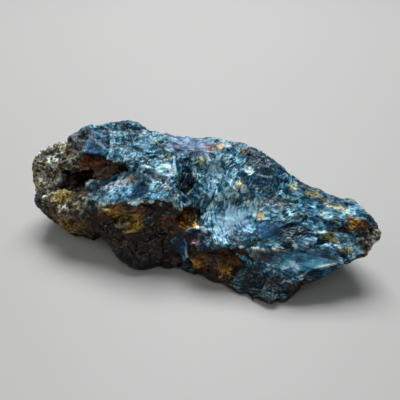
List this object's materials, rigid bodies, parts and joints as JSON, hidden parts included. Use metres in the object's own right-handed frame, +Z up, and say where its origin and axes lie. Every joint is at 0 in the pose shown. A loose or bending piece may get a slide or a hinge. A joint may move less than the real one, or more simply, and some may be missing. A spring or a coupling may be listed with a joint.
{
  "type": "rough amber lump",
  "caption": "Rough lump of blue amber with a crusty blunt end, a sloping shelf over a dark front wall, scooped fracture faces and a thin beak.",
  "frame": {"origin": "on the surface the lump rests on, under the middle of its bounding box", "axes": "+Z up, +X along the lump's length from the crusty blunt end to the thin beak, +Y towards the tall back wall"},
  "size_m": [0.126, 0.048, 0.039],
  "materials": {
    "blue_amber": "fractured fossil resin: see-through brown with a blue surface glow in daylight, semi-gloss on clean fractures and dull on the ochre crust"
  },
  "bodies": {
    "root": {"rough_amber": "blue_amber"}
  },
  "joints": []
}
